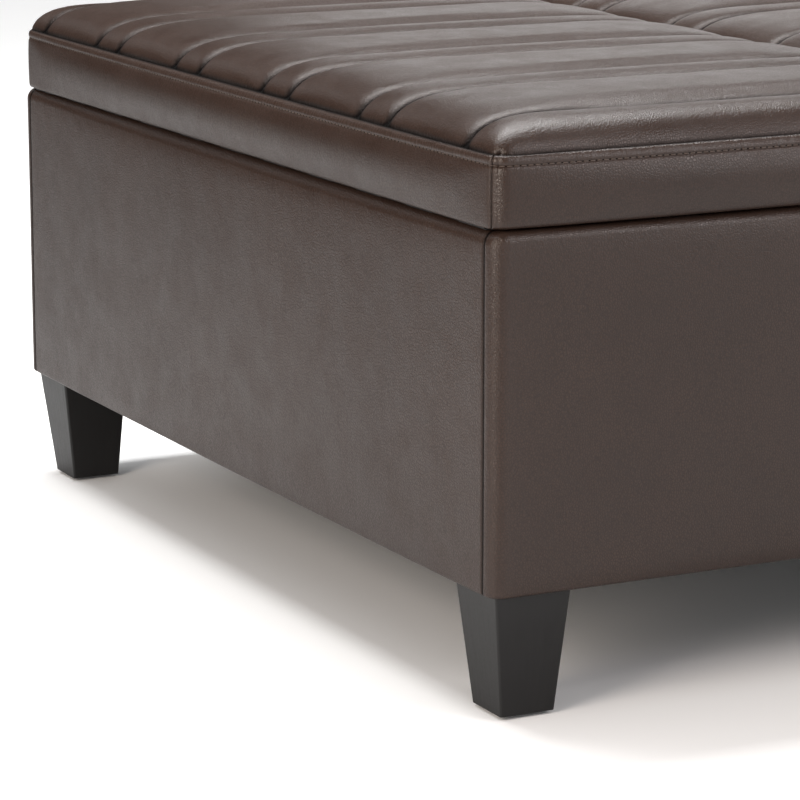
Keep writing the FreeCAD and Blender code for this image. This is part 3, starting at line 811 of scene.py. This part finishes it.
def make_sleeve():
    """The leather round the box: one strip wrapped round and sewn near each corner."""
    stations = box_outline()
    profile = np.array(sleeve_profile(BOX_ROLL))
    hinge_profile = np.array(sleeve_profile(HINGE_ROLL))
    columns, rows = len(stations) + 1, len(profile)
    deselect_all()
    bpy.ops.mesh.primitive_grid_add(x_subdivisions=columns - 1, y_subdivisions=rows - 1, size=1)
    sleeve = bpy.context.object
    sleeve.name = "box_cover"
    unit = points_of(sleeve)
    column = np.rint((unit[:, 0] + 0.5) * (columns - 1)).astype(int)
    row = np.rint((unit[:, 1] + 0.5) * (rows - 1)).astype(int)
    placed = np.empty(unit.shape)
    seam = sleeve.data.attributes.new("seam", "FLOAT", "POINT")
    crease = sleeve.data.attributes.new("crease", "FLOAT", "POINT")
    pulled, painted_crease_shade = np.zeros(len(unit)), np.zeros(len(unit))
    for vertex, (i, j) in enumerate(zip(column, row)):
        station = stations[i % len(stations)]
        kind, number, share = station
        hinge_share = share if kind == "arc" else 1.0
        hinge_share = hinge_share if (number % 2 == 0) == (kind == "arc") else 1 - hinge_share
        offset, z = profile[j] + (hinge_profile[j] - profile[j]) * hinge_share
        height = (z - BODY_BOTTOM) / (BODY_TOP - BODY_BOTTOM)
        outer = math.exp(-max(-offset, 0) / (5 * MM))
        bow = (1 - abs(share) ** 2.2) if kind == "side" else 0
        belly = 0.65 + 0.35 * math.sin(math.pi * min(max(height, 0), 1))
        rise = 4.2 * MM * math.exp(-max(BODY_TOP - z, 0) / (15 * MM))
        fall = 1.6 * MM * math.exp(-max(z - BODY_BOTTOM, 0) / (12 * MM))
        bulge = (SIDE_BULGE * belly - rise - fall) * bow * outer
        groove = corner_seam(station) * outer
        plan, normal = outline_point(station, offset)
        wave = 0.9 * MM * ripple(plan.x, plan.y, z, 170 * MM, 5)
        wave += 0.3 * MM * ripple(plan.x, plan.y, z, 45 * MM, 8)
        push = bulge - groove + wave * outer * min(1, 0.3 + bow * 3)
        placed[vertex] = (plan.x + normal.x * push, plan.y + normal.y * push, z)
        from_corner = 0 if kind == "arc" else (1 - abs(share)) * (HALF_Y - CORNER_RADIUS)
        # The seam mask gives puckers and a painted highlight near the corners and along the top
        # edge.
        pulled[vertex] = 0.5 * math.exp(-from_corner / (16 * MM)) * outer
        pulled[vertex] += 0.65 * math.exp(-abs(z - BODY_TOP) / (16 * MM)) * outer
        # The crease mask is painted shade in the corner seam grooves.
        painted_crease_shade[vertex] = corner_seam(station) / BOX_CORNER_SEAM
    seam.data.foreach_set("value", np.clip(pulled, 0, 1))
    crease.data.foreach_set("value", np.clip(painted_crease_shade, 0, 1))
    set_points(sleeve, placed)
    recalculate_normals(sleeve)
    thicken(sleeve, LEATHER)
    smooth(sleeve)
    dress(sleeve, leather, "box")
    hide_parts("cover_front", "cover_back", "cover_left", "cover_right")


def corner_seam(station):
    """Depth of the upright seam that lies just round each corner, on the side faces."""
    kind, number, share = station
    if kind != "side" or number % 2 == 0:
        return 0.0
    run = HALF_Y - CORNER_RADIUS
    from_end = (1 - abs(share)) * run
    return BOX_CORNER_SEAM * math.exp(-((from_end - BOX_CORNER_SEAM_INSET) / (1.3 * MM)) ** 2)


# ---------------------------------------------------------------- sheets of cloth

def cloth_sheet(name, low, high, material, body, waviness, seed, normal_axis=2,
                notch=None):
    """A flat, slightly uneven sheet of cloth between two corners; its size and area."""
    deselect_all()
    size = [high[a] - low[a] for a in range(3)]
    a, b = [axis for axis in range(3) if axis != normal_axis]
    cuts = [max(4, int(size[axis] / SHEET_CELL)) for axis in (a, b)]
    bpy.ops.mesh.primitive_grid_add(x_subdivisions=cuts[0], y_subdivisions=cuts[1], size=1)
    piece = bpy.context.object
    piece.name = name
    unit = points_of(piece)
    placed = np.empty(unit.shape)
    placed[:, a] = low[a] + (unit[:, 0] + 0.5) * size[a]
    placed[:, b] = low[b] + (unit[:, 1] + 0.5) * size[b]
    edge = np.minimum(0.5 - np.abs(unit[:, 0]), 0.5 - np.abs(unit[:, 1]))
    middle = (low[normal_axis] + high[normal_axis]) / 2
    placed[:, normal_axis] = middle
    wave = ripples(placed, 90 * MM, seed) * 0.7 + ripples(placed, 35 * MM, seed + 2) * 0.3
    placed[:, normal_axis] += waviness * wave * np.clip(edge * 12, 0, 1)
    set_points(piece, placed)
    if notch:
        cut_notches(piece, notch[0] - size[a] / cuts[0] / 2, notch[1] - size[b] / cuts[1] / 2)
    area = sum(face.area for face in piece.data.polygons)
    thicken(piece, SHEET_THICKNESS, 0.0)
    recalculate_normals(piece)
    smooth(piece, 40)
    dress(piece, material, body)
    return piece, (size[a], size[b]), area


def cut_notches(piece, from_x, from_y):
    """Cuts a sheet's four corners away, beyond the given distances from its middle."""
    use(piece)
    bpy.ops.object.mode_set(mode="EDIT")
    bpy.ops.mesh.select_mode(type="FACE")
    bpy.ops.mesh.select_all(action="DESELECT")
    bpy.ops.object.mode_set(mode="OBJECT")
    for face in piece.data.polygons:
        face.select = abs(face.center.x) > from_x and abs(face.center.y) > from_y
    bpy.ops.object.mode_set(mode="EDIT")
    bpy.ops.mesh.delete(type="FACE")
    bpy.ops.mesh.select_mode(type="VERT")
    bpy.ops.object.mode_set(mode="OBJECT")


def make_under_liner(name, seed):
    node = "lid_" + name + "_under_liner"
    low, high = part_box(node)
    piece, flat, _ = cloth_sheet(node.replace("under", "cloth"), low, high, lining_cloth,
                                 "lid_" + name, 0.35 * MM, seed)
    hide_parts(node)


def make_linings():
    low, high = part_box("lining_floor")
    floor, flat, _ = cloth_sheet("bay_floor_cloth", low, high, lining_cloth, "box",
                                 0.5 * MM, 21)
    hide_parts("lining_floor")
    low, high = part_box("lining_walls")
    thick = LINING_THICKNESS
    walls = {
        "front": ((low.x, low.y, low.z), (high.x, low.y + thick, high.z), 1),
        "back": ((low.x, high.y - thick, low.z), (high.x, high.y, high.z), 1),
        "left": ((low.x, low.y + thick, low.z), (low.x + thick, high.y - thick, high.z), 0),
        "right": ((high.x - thick, low.y + thick, low.z), (high.x, high.y - thick, high.z), 0),
    }
    for number, (name, (corner, opposite, axis)) in enumerate(walls.items()):
        wall, flat, _ = cloth_sheet("bay_" + name + "_cloth", corner, opposite, lining_cloth,
                                    "box", 0.4 * MM, 30 + number, axis)
        if name == "front":
            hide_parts("lining_walls")


def make_dust_cover():
    low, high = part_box("dust_cover")
    leg_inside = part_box("leg_front_left")[1]
    piece, flat, area = cloth_sheet("under_cloth", low, high, dust_cloth, "box",
                                    0.6 * MM, 41,
                                    notch=(-leg_inside.x, -leg_inside.y))
    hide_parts("dust_cover")


# ---------------------------------------------------------------- carried-over pieces

def finish_for(node):
    if node.startswith("leg_") and node.split("_")[1] in LEG_ROWS:
        return leg_lacquer
    if node == "leg_glides":
        return glide_plastic
    if node.startswith("hinge_"):
        return black_steel
    if node == "lid_bumpers":
        return rubber
    if node in ("centre_rail", "corner_blocks", "floor_cleats"):
        return softwood
    if node.startswith(("panel_", "floor_board")) or node.endswith("_board"):
        return plywood
    if node.endswith("_foam"):
        return foam_stuff
    if node == "dust_cover":
        return dust_cloth
    if node.startswith("lining") or node.endswith("under_liner"):
        return lining_cloth
    if node.startswith("cover_") or node.endswith("_cover"):
        return leather
    return zinc


def dress_cad_nodes():
    for name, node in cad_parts.items():
        node.data.materials.clear()
        node.data.materials.append(finish_for(name))


# ---------------------------------------------------------------- studio

def make_floor():
    """A pale floor that looks white but gives the leather only a soft grey reflection; it glows
    for the camera, a painted light, faintly near the ottoman and strongly further off.
    """
    deselect_all()
    bpy.ops.mesh.primitive_circle_add(vertices=96, radius=14, fill_type="NGON", location=(0, 0, 0))
    floor = bpy.context.object
    floor.name = "studio_floor"
    s = Shader("pale studio floor", Roughness=0.8, Specular_IOR_Level=0.1, Emission_Strength=0.22)
    soft = s.noise(3, 2)
    seen = s.node("LightPath", output="Is Camera Ray")
    pale = s.mix(soft, rgb(0.97, 0.97, 0.97), rgb(0.99, 0.99, 0.99))
    grey = s.mix(soft, rgb(0.58, 0.58, 0.58), rgb(0.60, 0.60, 0.60))
    reach = s.node("VectorMath", {"operation": "LENGTH"}, {0: s.place()}, output="Value")
    near = s.fit(reach, 0.50, 0.95, 0.05, 0.45)
    # Painted light: the glow is seen by the camera only and kept low near the ottoman so its
    # shadow stays dark.
    glow = s.mix(seen * (near + s.fit(reach, 0.95, 2.6, 0.0, 1.3)), rgb(0, 0, 0), rgb(1, 1, 1))
    floor.data.materials.append(s.finish(Base_Color=s.mix(seen, grey, pale), Emission_Color=glow))


def softbox(name, place, aim, width, height, power, colour=(1, 1, 1)):
    light = bpy.data.lights.new(name, "AREA")
    light.shape = "RECTANGLE"
    light.size = width
    light.size_y = height
    light.energy = power
    light.color = colour
    lamp = bpy.data.objects.new(name, light)
    bpy.context.scene.collection.objects.link(lamp)
    lamp.location = place
    lamp.rotation_euler = (Vector(aim) - Vector(place)).to_track_quat("-Z", "Y").to_euler()
    lamp.visible_camera = False


def make_studio():
    make_floor()
    world = bpy.data.worlds.new("studio")
    bpy.context.scene.world = world
    world.use_nodes = True
    tree = world.node_tree
    background = tree.nodes["Background"]
    background.inputs["Color"].default_value = rgb(1.0, 1.0, 1.0)
    place = tree.nodes.new("ShaderNodeTexCoord")
    parts = tree.nodes.new("ShaderNodeSeparateXYZ")
    tree.links.new(place.outputs["Generated"], parts.inputs["Vector"])
    levels = {
        "X": (-0.30, 0.40, 0.07, 1.30),
        "Y": (0.0, 0.75, 1.0, 0.12),
        "Z": (0.30, 0.55, 1.0, 0.14),
    }
    sockets = ("From Min", "From Max", "To Min", "To Max")
    strength = None
    for way, ends in levels.items():
        fade = tree.nodes.new("ShaderNodeMapRange")
        for name, level in zip(sockets, ends):
            fade.inputs[name].default_value = level
        tree.links.new(parts.outputs[way], fade.inputs["Value"])
        both = tree.nodes.new("ShaderNodeMath")
        both.operation = "MULTIPLY"
        both.inputs[1].default_value = 1.0
        tree.links.new(fade.outputs["Result"], both.inputs[0])
        if strength:
            tree.links.new(strength, both.inputs[1])
        strength = both.outputs["Value"]
    tree.links.new(strength, background.inputs["Strength"])
    sun = bpy.data.lights.new("broad overhead light", "SUN")
    sun.angle = math.radians(110)
    sun.energy = 1.5
    lamp = bpy.data.objects.new(sun.name, sun)
    bpy.context.scene.collection.objects.link(lamp)
    lamp.rotation_euler = (math.radians(-8), math.radians(-12), 0)
    lamp.visible_glossy = False
    softbox("overhead softbox", (-0.1, 0.5, 2.6), (-0.1, 0.3, 0.4), 2.3, 0.8, 95)
    softbox("warm left softbox", (-2.6, -1.2, 1.1), (-0.4, 0, 0.25), 1.0, 1.3, 44,
            (1.0, 0.88, 0.78))
    softbox("front softbox", (1.4, -2.9, 2.2), (0.2, -0.4, 0.3), 1.6, 1.2, 34,
            (1.0, 0.92, 0.92))
    softbox("back panel", (0.95, 1.75, 0.95), (-0.3, -0.35, 0.45), 1.0, 0.5, 2.7)
    softbox("back left panel", (-1.1, 2.9, 1.9), (-0.45, 0, 0.43), 1.2, 0.8, 3)
    bpy.context.scene.view_settings.view_transform = "Standard"


def make_camera():
    """A long lens, low over the floor, on the near left corner of the ottoman."""
    data = bpy.data.cameras.new("camera")
    data.lens = 157.7
    data.sensor_width = 36
    data.clip_end = 100
    camera = bpy.data.objects.new("camera", data)
    bpy.context.scene.collection.objects.link(camera)
    camera.location = (-1.645, -2.594, 0.783)
    heading = math.radians(27.14)
    pitch = math.radians(12.41)
    aim = Vector((math.sin(heading) * math.cos(pitch), math.cos(heading) * math.cos(pitch),
                  -math.sin(pitch)))
    camera.rotation_euler = aim.to_track_quat("-Z", "Y").to_euler()
    bpy.context.scene.camera = camera


make_camera()
make_studio()
dress_cad_nodes()
for number, name in enumerate(LID_NAMES):
    make_lid(name, 1 + number * 7)
    make_under_liner(name, 50 + number)
make_sleeve()
make_linings()
make_dust_cover()
